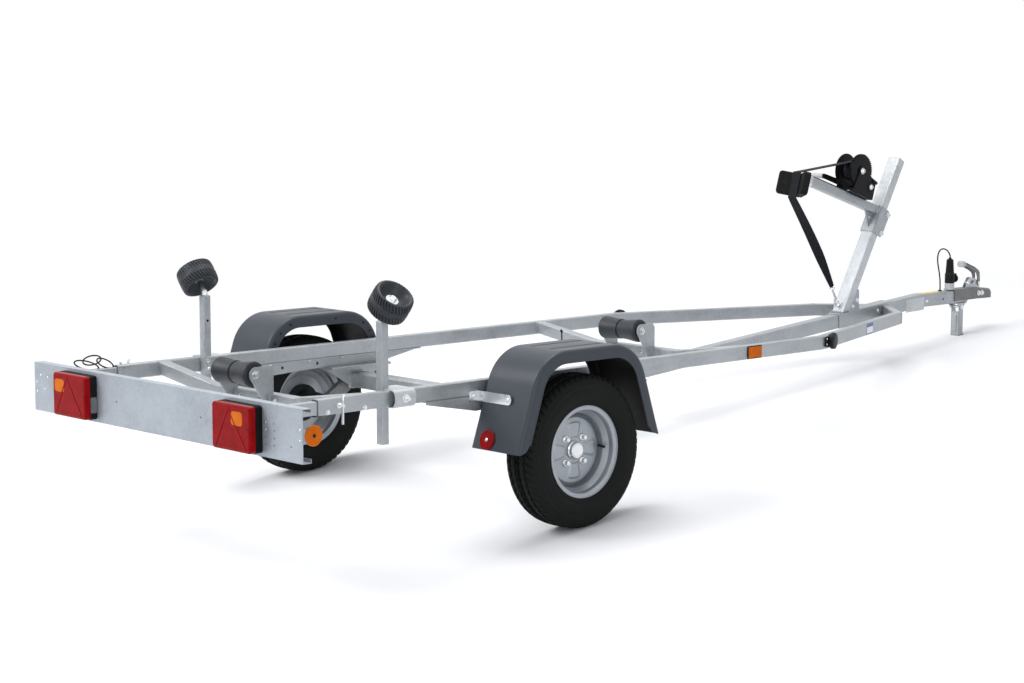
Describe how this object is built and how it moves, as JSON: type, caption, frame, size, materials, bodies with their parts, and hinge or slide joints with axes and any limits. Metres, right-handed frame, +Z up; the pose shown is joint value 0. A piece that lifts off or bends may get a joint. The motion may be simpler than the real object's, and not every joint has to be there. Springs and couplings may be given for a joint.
{
  "type": "boat trailer",
  "caption": "Single-axle boat trailer with keel and bilge rollers, winch post with strap and bow stop, clip-on light board, ball coupling and folding prop leg.",
  "frame": {"origin": "middle of the trailer's length and width, on the ground it stands on", "axes": "+X forward to the coupling, +Y left, +Z up; the trailer is parked nose-down on its prop leg"},
  "size_m": [5.3293, 1.92, 1.0677],
  "materials": {
    "galvanised": "satin",
    "bright_steel": "satin",
    "rim_silver": "satin",
    "cast_grey": "satin",
    "black_steel": "satin",
    "fender_plastic": "satin",
    "tyre_rubber": "matte",
    "roller_rubber": "satin",
    "black_plastic": "satin",
    "red_lens": "gloss",
    "amber_lens": "gloss",
    "webbing": "matte",
    "clear_lens": "gloss",
    "grip_grey": "satin"
  },
  "bodies": {
    "chassis": {"rail_right": "galvanised", "rail_left": "galvanised", "rear_crossmember": "galvanised", "front_crossmember": "galvanised", "drawbar": "galvanised", "drawbar_saddle": "galvanised", "axle_beam": "galvanised", "axle_brackets": "galvanised", "trailing_arms": "cast_grey", "fender_right": "fender_plastic", "fender_left": "fender_plastic", "fender_stays": "bright_steel", "light_board": "galvanised", "board_arms": "galvanised", "board_screws": "bright_steel", "lamp_housings": "black_plastic", "lamp_lenses": "red_lens", "amber_reflectors": "amber_lens", "red_reflectors": "red_lens", "marker_lamps": "black_plastic", "roller_posts": "galvanised", "post_clamps": "galvanised", "roller_stems": "bright_steel", "keel_brackets": "galvanised", "winch_post": "galvanised", "winch_arm": "galvanised", "bow_stop": "roller_rubber", "winch_frame": "black_steel", "winch_drum": "black_steel", "winch_crank": "black_steel", "winch_strap": "webbing", "strap_hook": "bright_steel", "coupling_head": "cast_grey", "leg_bracket": "galvanised", "plug_holder": "grip_grey", "plug": "black_plastic", "plug_cable": "black_plastic"},
    "wheel_right": {"hub_right": "cast_grey", "rim_right": "rim_silver", "tyre_right": "tyre_rubber"},
    "wheel_left": {"hub_left": "cast_grey", "rim_left": "rim_silver", "tyre_left": "tyre_rubber"},
    "keel_roller_rear": {"keel_roller_rear": "roller_rubber"},
    "keel_roller_front": {"keel_roller_front": "roller_rubber"},
    "bilge_roller_right": {"bilge_roller_right": "roller_rubber"},
    "bilge_roller_left": {"bilge_roller_left": "roller_rubber"},
    "coupling_handle": {"coupling_handle": "cast_grey"},
    "prop_leg": {"prop_leg": "galvanised"}
  },
  "joints": [
    {"name": "wheel_right_spin", "type": "hinge", "parent": "chassis", "child": "wheel_right", "pos_m": [-1.29164, -0.858, 0.302], "axis": [0, 1, 0], "continuous": true},
    {"name": "wheel_left_spin", "type": "hinge", "parent": "chassis", "child": "wheel_left", "pos_m": [-1.29164, 0.858, 0.302], "axis": [0, 1, 0], "continuous": true},
    {"name": "keel_roller_rear_spin", "type": "hinge", "parent": "chassis", "child": "keel_roller_rear", "pos_m": [-2.22351, 0, 0.70951], "axis": [0, 1, 0], "continuous": true},
    {"name": "keel_roller_front_spin", "type": "hinge", "parent": "chassis", "child": "keel_roller_front", "pos_m": [-0.1079, 0, 0.48964], "axis": [0, 1, 0], "continuous": true},
    {"name": "bilge_roller_right_spin", "type": "hinge", "parent": "chassis", "child": "bilge_roller_right", "pos_m": [-1.97635, -0.66, 0.98846], "axis": [0.0792, -0.6428, 0.7619], "continuous": true},
    {"name": "bilge_roller_left_spin", "type": "hinge", "parent": "chassis", "child": "bilge_roller_left", "pos_m": [-1.90971, 0.66, 0.98153], "axis": [0.0792, 0.6428, 0.7619], "continuous": true},
    {"name": "coupling_handle_lift", "type": "hinge", "parent": "chassis", "child": "coupling_handle", "pos_m": [2.56235, 0, 0.24731], "axis": [0, 1, 0], "range_deg": [0, 40]},
    {"name": "prop_leg_fold", "type": "hinge", "parent": "chassis", "child": "prop_leg", "pos_m": [2.38446, 0, 0.15119], "axis": [0, 1, 0], "range_deg": [0, 85]}
  ]
}
